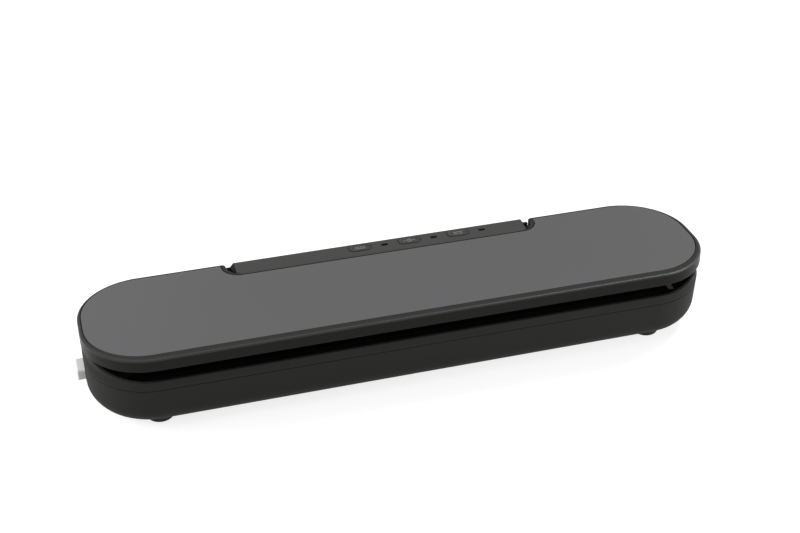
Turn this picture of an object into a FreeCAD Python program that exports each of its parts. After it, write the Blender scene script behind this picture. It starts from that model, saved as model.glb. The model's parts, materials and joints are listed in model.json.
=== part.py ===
import FreeCAD, Part
import math
import os

# Countertop vacuum sealer: a long capsule base with a hinged lid, ajar as it stands on a table.
# Millimetres. +X runs along the length, +Y to the rear, +Z up, z = 0 on the table.
# Lid pieces are drawn with the lid shut and turned open about the hinge at the end.

# Outer form
lid_length = 380.0
lid_depth = 89.7
end_flat = 12.2              # straight stretch of the outline at each end
foot_height = 3.1            # table to the underside of the shell
shell_height = 26.8          # underside of the shell to the seam
band_height = 5.6            # seam to the rim under the lid
closing_gap = 0.9            # rim to the lid's lower edge, lid shut
lid_height = 7.6             # lid's lower edge to its top face
base_inset = 0.3             # base outline inside the lid outline
open_angle = 5.5             # degrees the lid stands ajar
joint_gap = 0.3              # running gap between pieces that pass each other
seat_gap = 0.1               # slack of a piece dropped into its seat
pin_slack = 0.02             # slack round a pin or screw that doesn't turn
bearing_slack = 0.05         # slack round a pin or shaft that turns

# Base shell
shell_wall = 2.4
floor_wall = 2.6
bottom_rounding = 12.0
pry_notch_length = 6.0
pry_notch_radius = 3.0
pry_notch_depth = 1.2
pry_notch_lean = 54.0        # degrees round the bottom curve

# Base deck
seam_step = 0.5
seam_height = 0.4
rim_draft_height = 3.5       # band leans in over this height, as far as the collar
tongue_wall = 1.2            # tongue that centres the deck in the shell
tongue_depth = 2.0
plate_thickness = 2.0
rim_rise = 3.0               # rim above the deck plate
swing_relief = 1.1           # rear rim cut down under the lid's rear edge
collar_gap = 0.25            # lid wall to the collar that stands in the lid at each end
collar_wall = 1.5
collar_height = 5.6          # rim to the collar's top
collar_rear = 16.85          # lid rear to the collar's rear end
mouth_front = 3.0            # lid front to the foot of the collar's slope
mouth_slope = 12.8           # degrees that the mouth's ends climb to the rear
chamber_depth = 10.2
chamber_wall = 1.8
chamber_corner = 4.0
chamber_rounding = 1.0       # round the chamber's floor
chamber_end_margin = 40.5    # lid end to the chamber's end
gasket_ledge = 1.5           # chamber edge to the gasket
gasket_width = 4.0
gasket_seat = 0.8            # depth of each gasket's groove
gasket_rounding = 1.2
gasket_corner = 5.5

# Heater along the front of the deck
heater_front = 7.85          # lid front to the heater bar
heater_width = 8.0
heater_height = 2.0
heater_end_margin = 27.0
heater_to_gasket = 5.5
wire_width = 2.5
wire_thickness = 0.15
tape_thickness = 0.25
terminal_length = 4.0
terminal_width = 3.0
press_strip_inset = 0.5      # narrower than the heater bar at each edge

# Rear bay behind the chamber
bay_depth = 34.55            # lid rear to the chamber's rear wall
pump_axis_back = 20.85       # lid rear to the pump's axis
motor_gap_below = 1.0
motor_gap_above = 3.8
motor_length = 32.0
motor_nose_radius = 4.0
motor_nose_length = 3.0
pump_head_length = 20.0
pump_head_half = 9.0
pump_head_rounding = 1.6
pump_chamber_radius = 7.5
pump_chamber_depth = 15.0
shaft_radius = 1.5
eccentric_radius = 5.0
eccentric_offset = 1.2
eccentric_width = 6.0
cradle_length = 24.0
cradle_half = 6.0
cradle_rise = 3.2
port_end_margin = 10.5       # chamber end to the suction port
port_rise = 4.0              # chamber floor to the port's axis
port_radius = 2.5
port_bore = 1.5
port_flange = 2.8
port_flange_thickness = 1.0
port_length = 4.0
hose_wall = 1.1
hose_bend = 10.0

# Power board and what stands on it
board_thickness = 1.6
board_lift = 3.7
board_depth = 17.0
board_gap = 2.2              # chamber wall to the board
board_end_gap = 5.0          # board end to the screw posts
standoff_radius = 2.8
standoff_inset = 3.5
transformer_share = 0.31      # share of the row on the board that each part takes
capacitor_share = 0.12
relay_share = 0.18
transformer_depth = 15.0
core_lift = 4.0
core_height = 8.0
coil_end_inset = 5.2
coil_side_inset = 2.5
board_headroom = 2.4
relay_depth = 10.0
relay_height = 12.0
board_row_gap = 6.0          # standoff to the row, and between its parts

# Power inlet in the rear wall
inlet_x = 105.0
inlet_drop = 8.7             # seam to the inlet's axis
inlet_length = 17.5
inlet_height = 9.6
inlet_corner = 2.0
inlet_body_depth = 17.0
inlet_flange = 1.5
inlet_flange_thickness = 0.5
inlet_lobe_radius = 3.75
inlet_lobe_offset = 3.1
inlet_recess = 12.0
inlet_pin_radius = 1.2
inlet_pin_offset = 4.3
inlet_pin_length = 9.0

# Screws that hold the deck to the shell
screw_radius = 1.5
screw_head_radius = 2.9
screw_head_height = 2.0
screw_sink = 0.4             # head below the underside
screw_length = 13.0
post_radius = 4.0
pad_radius = 5.0
pad_height = 3.7
post_gap = 5.0               # motor end to the nearest post
post_y = 26.0
end_post_margin = 25.0
end_post_y = 22.0

# Feet
foot_radius = 8.3
foot_seat = 1.3
foot_end_margin = 38.5
foot_y = 28.9
foot_rounding = 0.6

# Hinge and rear notch
hinge_back = 5.35            # lid rear to the hinge axis
hinge_drop = 4.5             # lid top to the hinge axis
barrel_radius = 5.0          # lid's rear edge is rounded about the hinge axis
barrel_wall = 4.5
hinge_pin_radius = 1.5
bush_radius = 2.2
bush_gap = 0.5
pin_grip = 11.0              # length of the pin in the control strip
bush_grip = 7.0              # length of the bush in the lid
notch_half = 97.8
notch_depth = 13.8
notch_rounding = 10.0
notch_corner = 2.0

# Lid
lid_wall = 1.1
lid_edge_rounding = 0.8
lid_lower_rounding = 0.4
cheek_width = 8.2
end_ring = 1.9               # rim left round the panel
front_ring = 5.2
rear_ring = 0.9
notch_ring = 0.8             # rim left along the notch
notch_end_ring = 2.5
panel_thickness = 1.2
panel_gap = 0.5
panel_rounding = 0.3
web_thickness = 1.2
liner_inset = 2.4            # lid wall to the liner, past the collar
liner_recess = 1.6           # lid's lower edge to the liner
liner_thickness = 1.6
lid_screw_radius = 1.4
lid_screw_head = 2.8
lid_screw_head_height = 1.2
lid_screw_bite = 2.4
lid_boss_radius = 3.6
lid_screw_back = 22.85       # lid rear to the rear lid screws
lid_screw_mid = 60.0
lid_screw_far = 140.0
lid_screw_end_margin = 15.0
lid_screw_end_y = 18.0

# Control strip
strip_end_gap = 2.5          # notch end to the strip's end
strip_end_slope = 2.6        # ends lean in by this much at the top
strip_end_rise = 3.6
strip_ear_drop = 3.0         # top of the ear that shuts the notch behind the hinge
strip_ear_wall = 1.8
strip_front_gap = 0.8        # notch wall to the strip
strip_corner = 6.6
strip_front_rounding = 1.8
strip_rear_rounding = 0.6
strip_wall = 1.6
strip_rear_wall = 1.2
strip_ledge = 0.8            # ledge the control board is held up against
strip_top = 1.6
button_length = 14.5
button_width = 6.6
button_first_x = -14.3
button_pitch = 31.85
button_back = 4.65           # lid rear to the buttons' centre line
button_gap = 0.25
button_proud = 0.35
button_travel = 0.8
button_flange_length = 16.7
button_flange_width = 5.0
button_flange_height = 0.7
window_length = 4.0
window_width = 2.0
window_offset = 15.7         # button centre to its window
window_back = 5.15
window_sink = 0.1
control_board_thickness = 1.6
control_board_margin = 12.0  # first button to the board's left end
control_board_gap = 7.2      # board's right end to the end of the strip's hollow
switch_size = 5.2
switch_height = 0.8
switch_plunger_radius = 1.2
switch_plunger_height = 0.3
led_length = 2.0
led_width = 1.2

# Lid lock at each end
lock_width = 12.2
lock_height = 7.6
lock_drop = 11.5             # seam to the button's centre
lock_proud = 4.2             # beyond the lid's end
lock_rounding = 0.9
lock_corner = 1.6
lock_cap_length = 8.2
lock_travel = 3.0
slide_half = 4.0
slide_height = 5.0
slide_riser = 3.0
tongue_top_gap = 2.0         # deck plate to the bolt's tongue
hook_end_margin = 25.0       # lid end to the hook's stem
hook_stem = 2.4
hook_lip = 3.0
hook_lock_gap = 0.5          # hook to the bolt, both ways
hook_lip_height = 1.4
hook_half = 3.5
hook_flange_length = 10.0
hook_flange_half = 8.0
hook_flange_height = 1.5
pedestal_length = 8.0
lid_switch_length = 8.0
lid_switch_half = 5.0
lid_switch_height = 5.6
lid_switch_plunger = 1.0
lid_switch_plunger_height = 1.0

# Heights that follow from the sizes above
z_shell = foot_height
z_floor = z_shell + floor_wall
z_seam = z_shell + shell_height
z_rim = z_seam + band_height
z_plate = z_rim - rim_rise
z_plate_under = z_plate - plate_thickness
z_lid = z_rim + closing_gap
z_top = z_lid + lid_height
z_liner = z_lid + liner_recess
z_web = z_top - panel_thickness - web_thickness
z_chamber = z_plate - chamber_depth
z_heater = z_plate + heater_height
z_tape = z_heater + wire_thickness + tape_thickness
z_gasket = z_lid + joint_gap / 2
z_flange = z_top - strip_top - joint_gap - button_flange_height
z_switches = z_flange - button_travel - joint_gap - switch_plunger_height - switch_height
bay_height = z_plate_under - z_floor

# Places that follow from the sizes above
half_length = lid_length / 2
half_depth = lid_depth / 2
corner = half_depth - end_flat / 2
beyond = half_depth          # reach of a cut that runs out past the part
y_front = -half_depth
y_rear = half_depth
y_hinge = y_rear - hinge_back
z_hinge = z_top - hinge_drop
y_notch = y_rear - notch_depth
y_strip = y_notch + strip_front_gap
strip_half = notch_half - strip_end_gap
strip_hollow = strip_half - pin_grip
inner_inset = base_inset + shell_wall
collar_inset = lid_wall + collar_gap
z_collar = z_rim + collar_height
chamber_half = half_length - chamber_end_margin
heater_half = half_length - heater_end_margin
y_heater = y_front + heater_front
y_heater_back = y_heater + heater_width
gasket_front = y_heater_back + heater_to_gasket
chamber_front = gasket_front + gasket_width + gasket_ledge
chamber_back = y_rear - bay_depth - chamber_wall
gasket_back = chamber_back + gasket_ledge + gasket_width
gasket_half = chamber_half + gasket_ledge + gasket_width
hook_x = half_length - hook_end_margin
centre = FreeCAD.Vector(0, 0, 0)


def at(x, y, z):
    return FreeCAD.Vector(x, y, z)


def block(x0, x1, y0, y1, z0, z1):
    return Part.makeBox(x1 - x0, y1 - y0, z1 - z0, at(x0, y0, z0))


def rod(radius, start, end):
    way = end - start
    return Part.makeCylinder(radius, way.Length, start, way)


def plate(x0, x1, y0, y1, radius, z0, z1):
    # Upright prism over a rectangle with round corners.
    r = radius
    c = r * (1 - math.sqrt(0.5))
    points = [at(x0 + r, y0, z0), at(x1 - r, y0, z0), at(x1, y0 + r, z0), at(x1, y1 - r, z0),
              at(x1 - r, y1, z0), at(x0 + r, y1, z0), at(x0, y1 - r, z0), at(x0, y0 + r, z0)]
    mids = [at(x1 - c, y0 + c, z0), at(x1 - c, y1 - c, z0), at(x0 + c, y1 - c, z0), at(x0 + c, y0 + c, z0)]
    edges = []
    for side in range(4):
        a, b, d = points[2 * side], points[2 * side + 1], points[(2 * side + 2) % 8]
        if (b - a).Length > 1e-6:
            edges.append(Part.LineSegment(a, b).toShape())
        edges.append(Part.Arc(b, mids[side], d).toShape())
    return Part.Face(Part.Wire(edges)).extrude(at(0, 0, z1 - z0))


def capsule(inset, z0, z1):
    # Slab with the lid's outline, drawn in by inset.
    x, y = half_length - inset, half_depth - inset
    return plate(-x, x, -y, y, corner - inset, z0, z1)


def oval(x, y, length, width, z0, z1):
    return plate(x - length / 2, x + length / 2, y - width / 2, y + width / 2, width / 2, z0, z1)


def join(first, *others):
    whole = first
    for other in others:
        whole = whole.fuse(other)
    return whole.removeSplitter()


def take(first, *others):
    rest = first
    for other in others:
        rest = rest.cut(other)
    return rest


def level_edges(shape, z):
    # Edges that lie in the level plane at z.
    return [e for e in shape.Edges if abs(e.BoundBox.ZMin - z) < 1e-4 and abs(e.BoundBox.ZMax - z) < 1e-4]


def both_ends(make):
    return [make(side) for side in (-1, 1)]


def mirrored(shape, side):
    # Shape drawn at the left end, or its mirror at the right end.
    return shape if side < 0 else shape.mirror(centre, at(1, 0, 0))


def save(name, *solids):
    shape = solids[0] if len(solids) == 1 else Part.makeCompound(list(solids))
    shape.exportStep("parts/" + name + ".step")
    print(name, len(shape.Solids), round(shape.Volume, 1), shape.isValid())


def save_lid(name, *solids):
    turned = []
    for solid in solids:
        copy = solid.copy()
        copy.rotate(at(0, y_hinge, z_hinge), at(1, 0, 0), -open_angle)
        turned.append(copy)
    save(name, *turned)


def gasket_loop(grow, z0, z1):
    outer = plate(-gasket_half - grow, gasket_half + grow, gasket_front - grow, gasket_back + grow,
                  gasket_corner + grow, z0, z1)
    shrink = gasket_width + grow
    inner = plate(-gasket_half + shrink, gasket_half - shrink, gasket_front + shrink, gasket_back - shrink,
                  gasket_corner - gasket_width, z0, z1)
    return outer.cut(inner)


# Deck screws stand clear of the pump and in line at both sides
port_x = -chamber_half + port_end_margin
hose_radius = port_radius + bearing_slack + hose_wall
pump_x = port_x + hose_bend + port_length
motor_x = pump_x + pump_head_length
motor_end = motor_x + motor_length + motor_nose_length
post_x = -motor_end - post_gap
end_post_x = half_length - end_post_margin
post_places = [(sx * post_x, sy * post_y) for sx in (-1, 1) for sy in (-1, 1)]
post_places += [(sx * end_post_x, -end_post_y) for sx in (-1, 1)]
z_pad = z_floor + pad_height
z_head = z_shell + screw_sink + screw_head_height

# Lock heights: the hook's lip passes under the bolt's tongue when the lid is shut
z_lock = z_seam - lock_drop
z_slide = z_lock - slide_height / 2
z_tongue_top = z_plate_under - tongue_top_gap
lip_rise = y_hinge * math.sin(math.radians(open_angle))
lip_tilt = hook_half * math.sin(math.radians(open_angle))
tongue_thickness = lip_rise - hook_lip_height - lip_tilt - 2 * joint_gap
z_lip = z_tongue_top - tongue_thickness - joint_gap
z_hook = z_lip - hook_lip_height
lock_x = hook_x + hook_lip + hook_lock_gap
riser_x = lock_x + lock_travel
lock_end = half_length + lock_proud

# Feet
foot_x = half_length - foot_end_margin
foot_places = [(sx * foot_x, sy * foot_y) for sx in (-1, 1) for sy in (-1, 1)]
z_foot_seat = z_shell + foot_seat

# Power inlet
z_inlet = z_seam - inlet_drop
y_inlet = y_rear - base_inset

# Lid switch under the right hook
z_switch = z_hook - joint_gap - lid_switch_plunger_height - lid_switch_height
switch_x = hook_x - hook_stem


def inlet_prism(grow, y0, y1):
    upright = plate(-inlet_length / 2 - grow, inlet_length / 2 + grow, -inlet_height / 2 - grow,
                    inlet_height / 2 + grow, inlet_corner + grow, 0, y1 - y0)
    upright.rotate(centre, at(1, 0, 0), 90)
    upright.translate(at(inlet_x, y1, z_inlet))
    return upright


def lock_prism(grow, x0, x1):
    upright = plate(-lock_height / 2 - grow, lock_height / 2 + grow, -lock_width / 2 - grow,
                    lock_width / 2 + grow, lock_corner + grow, 0, x1 - x0)
    upright.rotate(centre, at(0, 1, 0), 90)
    upright.translate(at(x0, 0, z_lock))
    return upright


def switch_block(z0, z1):
    half = lid_switch_length / 2
    return block(switch_x - half, switch_x + half, -lid_switch_half, lid_switch_half, z0, z1)


def make_base_shell():
    outer = capsule(base_inset, z_shell, z_seam)
    outer = outer.makeFillet(bottom_rounding, level_edges(outer, z_shell))
    hollow = capsule(inner_inset, z_floor, z_seam)
    hollow = hollow.makeFillet(bottom_rounding - shell_wall, level_edges(hollow, z_floor))
    ribs = [rod(pad_radius, at(x, y, z_shell), at(x, y, z_pad)) for x, y in post_places]
    back = -riser_x - slide_riser
    pedestal = block(back - pedestal_length, back, -slide_half, slide_half, z_shell, z_slide - joint_gap)
    ribs += both_ends(lambda side: mirrored(pedestal, side))
    ribs.append(switch_block(z_shell, z_switch))
    shell = outer.cut(hollow.cut(Part.makeCompound(ribs)))
    for x, y in post_places:
        shell = take(shell, rod(screw_head_radius + joint_gap, at(x, y, 0), at(x, y, z_head)),
                     rod(screw_radius + seat_gap, at(x, y, 0), at(x, y, z_pad)))
    for x, y in foot_places:
        shell = shell.cut(rod(foot_radius + seat_gap, at(x, y, 0), at(x, y, z_foot_seat)))
    wall_end = -half_length - lock_proud
    lock_hole = lock_prism(joint_gap, wall_end, -half_length + inner_inset + lock_rounding)
    for side in (-1, 1):
        shell = shell.cut(mirrored(lock_hole, side))
    shell = shell.cut(inlet_prism(seat_gap, y_rear - inner_inset - seat_gap, y_rear))
    # Small notch under the front edge, where the lower curve turns out of sight
    lean = math.radians(pry_notch_lean)
    y_curve = y_front + base_inset + bottom_rounding * (1 - math.cos(lean))
    z_curve = z_shell + bottom_rounding * (1 - math.sin(lean))
    out = pry_notch_radius - pry_notch_depth
    y_cut, z_cut = y_curve - out * math.cos(lean), z_curve - out * math.sin(lean)
    reach = pry_notch_length / 2
    return shell.cut(rod(pry_notch_radius, at(-reach, y_cut, z_cut), at(reach, y_cut, z_cut)))


def make_collar():
    # Low wall that stands up into the lid round each end, and slopes down to the mouth at the front.
    ring = capsule(collar_inset, z_plate, z_collar)
    ring = ring.cut(capsule(collar_inset + collar_wall, z_plate, z_collar))
    foot = y_front + mouth_front
    head = foot + collar_height / math.tan(math.radians(mouth_slope))
    front = y_front - mouth_front
    outline = [at(-half_length, y, z) for y, z in ((front, z_plate), (foot, z_plate), (foot, z_rim),
                                                   (head, z_collar), (front, z_collar), (front, z_plate))]
    mouth = Part.Face(Part.makePolygon(outline)).extrude(at(lid_length, 0, 0))
    rear = block(-half_length, half_length, y_rear - collar_rear, y_rear, z_plate, z_collar)
    return take(ring, mouth, rear)


def make_base_deck():
    band = capsule(base_inset, z_seam + seam_height, z_rim)
    band = band.makeChamfer(rim_draft_height, collar_inset - base_inset, level_edges(band, z_rim))
    deck = join(band, capsule(base_inset + seam_step, z_seam, z_seam + seam_height))
    deck = take(deck, capsule(inner_inset, z_plate, z_rim), capsule(inner_inset, z_seam, z_plate_under))
    centring = inner_inset + seat_gap
    tongue = capsule(centring, z_seam - tongue_depth, z_plate_under)
    deck = join(deck, tongue.cut(capsule(centring + tongue_wall, z_seam - tongue_depth, z_plate_under)))
    tub_half = chamber_half + chamber_wall
    tub = plate(-tub_half, tub_half, chamber_front - chamber_wall, chamber_back + chamber_wall,
                chamber_corner + chamber_wall, z_chamber - chamber_wall, z_plate)
    posts = [rod(post_radius, at(x, y, z_pad), at(x, y, z_plate)) for x, y in post_places]
    deck = join(deck, tub, make_collar(), *posts)
    for side in (-1, 1):
        swing = block(-half_length, -strip_half, y_hinge, y_rear, z_rim - swing_relief, z_rim)
        deck = deck.cut(mirrored(swing, side))
    hollow = plate(-chamber_half, chamber_half, chamber_front, chamber_back, chamber_corner, z_chamber,
                   z_rim)
    hollow = hollow.makeFillet(chamber_rounding, level_edges(hollow, z_chamber))
    deck = take(deck, hollow, gasket_loop(seat_gap, z_plate - gasket_seat, z_rim))
    tip = z_head + screw_length + joint_gap
    for x, y in post_places:
        deck = deck.cut(rod(screw_radius + pin_slack, at(x, y, z_pad), at(x, y, tip)))
    # Slots for the hooks, long enough for the arc they swing on
    leave = math.asin((z_plate - z_hook) / y_hinge)
    sweep = (z_hinge - z_hook) * math.sin(leave) - y_hinge * (1 - math.cos(leave))
    room = 2 * joint_gap
    slot = block(-hook_x - hook_lip - room, -hook_x + hook_stem + room, -hook_half - sweep - room,
                 hook_half + room, z_plate_under, z_rim)
    for side in (-1, 1):
        deck = deck.cut(mirrored(slot, side))
    port = rod(port_radius + seat_gap, at(port_x, chamber_back - chamber_corner, z_chamber + port_rise),
               at(port_x, chamber_back + 2 * chamber_wall, z_chamber + port_rise))
    return deck.cut(port)


def make_control_panel():
    panel = plate(-strip_half, strip_half, y_strip, y_rear + beyond, strip_corner, z_plate, z_top)
    panel = panel.cut(block(-half_length, half_length, y_rear, y_rear + 2 * beyond, z_plate, z_top))
    low_corner = at(-strip_half, y_strip, z_top - strip_end_rise)
    lean = Part.makePolygon([low_corner, at(-strip_half, y_strip, z_top),
                             at(-strip_half + strip_end_slope, y_strip, z_top), low_corner])
    wedge = Part.Face(lean).extrude(at(0, notch_depth, 0))
    for side in (-1, 1):
        panel = panel.cut(mirrored(wedge, side))
    front = [e for e in level_edges(panel, z_top) if e.BoundBox.YMax < y_strip + strip_corner + 1e-3
             and e.BoundBox.YMin < y_strip + strip_corner / 2]
    panel = panel.makeFillet(strip_front_rounding, front)
    rear = [e for e in level_edges(panel, z_top) if e.BoundBox.YMin > y_rear - 1e-3]
    panel = panel.makeFillet(strip_rear_rounding, rear)
    ear = block(-notch_half + joint_gap, -strip_half + strip_wall, y_rear - strip_ear_wall, y_rear, z_rim,
                z_top - strip_ear_drop)
    panel = join(panel, *both_ends(lambda side: mirrored(ear, side)))
    # The strip's rear wall stands on the rim, its front wall on the deck plate
    rim = y_rear - inner_inset - seat_gap
    panel = panel.cut(block(-half_length, half_length, rim, y_rear, z_plate, z_rim))
    end = strip_hollow
    inner, outer = y_strip + strip_wall, y_rear - strip_rear_wall
    panel = take(panel, block(-end, end, inner, outer, z_plate, z_switches),
                 block(-end, end, inner + strip_ledge, outer, z_switches, z_top - strip_top))
    for x in button_places():
        panel = take(panel, oval(x, y_rear - button_back, button_length + 2 * button_gap,
                                 button_width + 2 * button_gap, z_top - 2 * strip_top, z_top),
                     window_block(x, seat_gap, z_top - 2 * strip_top, z_top))
    pin = hinge_rod(hinge_pin_radius + pin_slack, strip_hollow, strip_half)
    for side in (-1, 1):
        panel = panel.cut(mirrored(pin, side))
    return panel


def button_places():
    return [button_first_x + button_pitch * place for place in range(3)]


def window_block(x, grow, z0, z1):
    x0, y0 = x + window_offset, y_rear - window_back
    return block(x0 - window_length / 2 - grow, x0 + window_length / 2 + grow, y0 - window_width / 2 - grow,
                 y0 + window_width / 2 + grow, z0, z1)


def hinge_rod(radius, inner, outer):
    # Round bar on the hinge axis at the left end.
    return rod(radius, at(-inner, y_hinge, z_hinge), at(-outer, y_hinge, z_hinge))


def make_button(x):
    y = y_rear - button_back
    cap = oval(x, y, button_length, button_width, z_flange, z_top + button_proud)
    cap = cap.makeFillet(button_proud, level_edges(cap, z_top + button_proud))
    flange_top = z_flange + button_flange_height
    return join(cap, oval(x, y, button_flange_length, button_flange_width, z_flange, flange_top))


def make_control_board():
    return block(button_first_x - control_board_margin, strip_hollow - control_board_gap,
                 y_strip + strip_wall + seat_gap, y_rear - strip_rear_wall - seat_gap,
                 z_switches - control_board_thickness, z_switches)


def make_tact_switch(x):
    y, half = y_rear - button_back, switch_size / 2
    body = block(x - half, x + half, y - half, y + half, z_switches, z_switches + switch_height)
    top = z_switches + switch_height + switch_plunger_height
    return join(body, rod(switch_plunger_radius, at(x, y, z_switches), at(x, y, top)))


def make_led(x):
    x0, y0 = x + window_offset, y_rear - window_back
    return block(x0 - led_length / 2, x0 + led_length / 2, y0 - led_width / 2, y0 + led_width / 2,
                 z_switches, z_top - strip_top - joint_gap)


def notch_prism(grow, side_grow, z0, z1):
    x = notch_half + side_grow
    return plate(-x, x, y_notch - grow, y_rear + 2 * beyond, notch_rounding + grow, z0, z1)


def lid_cavity(inset, z0, z1):
    hollow = capsule(lid_wall + inset, z0, z1)
    rear = y_hinge - barrel_wall - inset
    hollow = hollow.cut(block(-half_length, half_length, rear, y_rear, z0, z1))
    return hollow.cut(notch_prism(lid_wall + inset, cheek_width + inset, z0, z1))


def lid_screw_places():
    y = y_rear - lid_screw_back
    places = [(sx * x, y) for sx in (-1, 1) for x in (lid_screw_mid, lid_screw_far)]
    end = half_length - lid_screw_end_margin
    return places + [(sx * end, -lid_screw_end_y) for sx in (-1, 1)]


def panel_slab(shrink):
    # Slab that fills the panel's recess, drawn in by shrink.
    x = half_length - end_ring - shrink
    y0, y1 = y_front + front_ring + shrink, y_rear - rear_ring - shrink
    slab = plate(-x, x, y0, y1, (y1 - y0 - end_flat) / 2, z_top - panel_thickness, z_top)
    return slab.cut(notch_prism(notch_ring + shrink, notch_end_ring + shrink, z_lid, z_top))


def make_lid_frame():
    frame = capsule(0, z_lid, z_top).cut(notch_prism(0, 0, z_lid, z_top))
    uprights = [e for e in frame.Edges if abs(abs(e.CenterOfMass.x) - notch_half) < 1e-3
                and abs(e.CenterOfMass.y - y_rear) < 1e-3]
    frame = frame.makeFillet(notch_corner, uprights)
    frame = frame.makeFillet(lid_edge_rounding, level_edges(frame, z_top))
    frame = frame.makeFillet(lid_lower_rounding, level_edges(frame, z_lid))
    behind = block(-half_length, half_length, y_hinge, y_rear, z_lid, z_hinge)
    barrel = rod(barrel_radius, at(-half_length, y_hinge, z_hinge), at(half_length, y_hinge, z_hinge))
    frame = frame.cut(behind.cut(barrel))
    bosses = [rod(lid_boss_radius, at(x, y, z_liner + liner_thickness), at(x, y, z_web))
              for x, y in lid_screw_places()]
    frame = frame.cut(lid_cavity(0, z_lid, z_web).cut(Part.makeCompound(bosses)))
    frame = frame.cut(panel_slab(0))
    bite = z_liner + liner_thickness + lid_screw_bite
    for x, y in lid_screw_places():
        frame = frame.cut(rod(lid_screw_radius + pin_slack, at(x, y, z_lid), at(x, y, bite)))
    seat = hinge_rod(bush_radius + pin_slack, strip_half, notch_half + bush_grip)
    for side in (-1, 1):
        frame = frame.cut(mirrored(seat, side))
    return frame


def make_lid_panel():
    panel = panel_slab(panel_gap)
    return panel.makeFillet(panel_rounding, level_edges(panel, z_top))


def press_block(grow, z0, z1):
    x = heater_half + grow
    inset = press_strip_inset - grow
    return block(-x, x, y_heater + inset, y_heater_back - inset, z0, z1)


def make_lid_liner():
    liner = lid_cavity(liner_inset, z_liner, z_liner + liner_thickness)
    groove = z_liner + gasket_seat
    liner = take(liner, gasket_loop(seat_gap, z_liner, groove), press_block(seat_gap, z_liner, groove))
    for x, y in lid_screw_places():
        liner = liner.cut(rod(lid_screw_radius + seat_gap, at(x, y, z_liner), at(x, y, z_web)))
    return liner


def make_lid_screw(x, y):
    head = rod(lid_screw_head, at(x, y, z_liner - lid_screw_head_height), at(x, y, z_liner))
    tip = z_liner + liner_thickness + lid_screw_bite - joint_gap
    return join(head, rod(lid_screw_radius, at(x, y, z_liner), at(x, y, tip)))


def make_hook():
    x = -hook_x
    stem = block(x, x + hook_stem, -hook_half, hook_half, z_hook, z_liner)
    lip = block(x - hook_lip, x, -hook_half, hook_half, z_hook, z_lip)
    middle = x + hook_stem / 2
    flange = block(middle - hook_flange_length / 2, middle + hook_flange_length / 2, -hook_flange_half,
                   hook_flange_half, z_liner - hook_flange_height, z_liner)
    return join(stem, lip, flange)


def make_gasket(z0, z1, free_edge):
    loop = gasket_loop(0, z0, z1)
    return loop.makeFillet(gasket_rounding, level_edges(loop, free_edge))


def make_lock_button():
    cap = lock_prism(0, -lock_end, -lock_end + lock_cap_length)
    face = [e for e in cap.Edges if e.BoundBox.XMax < -lock_end + 1e-4]
    return cap.makeFillet(lock_rounding, face)


def make_lock_slide():
    back = -lock_end + lock_cap_length
    inner = -riser_x
    bar = block(back, inner, -slide_half, slide_half, z_slide, z_slide + slide_height)
    riser = block(inner - slide_riser, inner, -slide_half, slide_half, z_slide, z_tongue_top)
    tongue = block(inner - slide_riser, -lock_x, -slide_half, slide_half, z_tongue_top - tongue_thickness,
                   z_tongue_top)
    return join(bar, riser, tongue)


def make_heater_tape():
    end = heater_half + tape_thickness
    top = block(-end, end, y_heater, y_heater_back, z_heater + wire_thickness, z_tape)
    flap = block(-end, -heater_half, y_heater, y_heater_back, z_plate, z_tape)
    return join(top, flap, mirrored(flap, 1))


def make_terminal():
    x = -heater_half - tape_thickness - joint_gap
    y = (y_heater + y_heater_back) / 2
    return block(x - terminal_length, x, y - terminal_width / 2, y + terminal_width / 2, z_plate, z_heater)


# Pump: motor, head and eccentric on one axis along X
motor_radius = (bay_height - motor_gap_below - motor_gap_above) / 2
y_pump = y_rear - pump_axis_back
z_pump = z_floor + motor_gap_below + motor_radius
z_port = z_chamber + port_rise
shaft_start = motor_x - pump_chamber_depth + joint_gap


def pump_rod(radius, x0, x1):
    return rod(radius, at(x0, y_pump, z_pump), at(x1, y_pump, z_pump))


def make_pump_motor():
    nose = pump_rod(motor_nose_radius, motor_x + motor_length, motor_end)
    return join(pump_rod(motor_radius, motor_x, motor_x + motor_length), nose).cut(
        pump_rod(shaft_radius + bearing_slack, motor_x, motor_end - joint_gap))


def make_motor_shaft():
    disc = pump_rod(eccentric_radius, shaft_start, shaft_start + eccentric_width)
    disc.translate(at(0, 0, eccentric_offset))
    return join(disc, pump_rod(shaft_radius, shaft_start, motor_end - 2 * joint_gap))


def make_pump_head():
    top = max(z_pump + pump_head_half, z_port + hose_radius)
    head = block(pump_x, motor_x, y_pump - pump_head_half, y_pump + pump_head_half,
                 z_pump - pump_head_half, top)
    lengthwise = [e for e in head.Edges if e.BoundBox.XLength > pump_head_length / 2]
    head = head.makeFillet(pump_head_rounding, lengthwise)
    head = head.cut(pump_rod(pump_chamber_radius, motor_x - pump_chamber_depth, motor_x))
    spigot = rod(port_radius, at(pump_x - port_length, y_pump, z_port), at(pump_x, y_pump, z_port))
    bore = rod(port_bore, at(pump_x - port_length, y_pump, z_port), at(pump_x + port_length, y_pump, z_port))
    return join(head, spigot).cut(bore)


def make_pump_cradle():
    middle = motor_x + motor_length / 2
    cradle = block(middle - cradle_length / 2, middle + cradle_length / 2, y_pump - cradle_half,
                   y_pump + cradle_half, z_floor, z_floor + cradle_rise)
    return cradle.cut(pump_rod(motor_radius + seat_gap, motor_x, motor_x + motor_length))


def make_suction_port():
    wall = chamber_back
    tube = rod(port_radius, at(port_x, wall, z_port), at(port_x, wall + chamber_wall + port_length, z_port))
    flange = rod(port_flange, at(port_x, wall - port_flange_thickness, z_port), at(port_x, wall, z_port))
    bore = rod(port_bore, at(port_x, wall - port_flange_thickness, z_port),
               at(port_x, wall + chamber_wall + port_length, z_port))
    return join(flange, tube).cut(bore)


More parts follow.
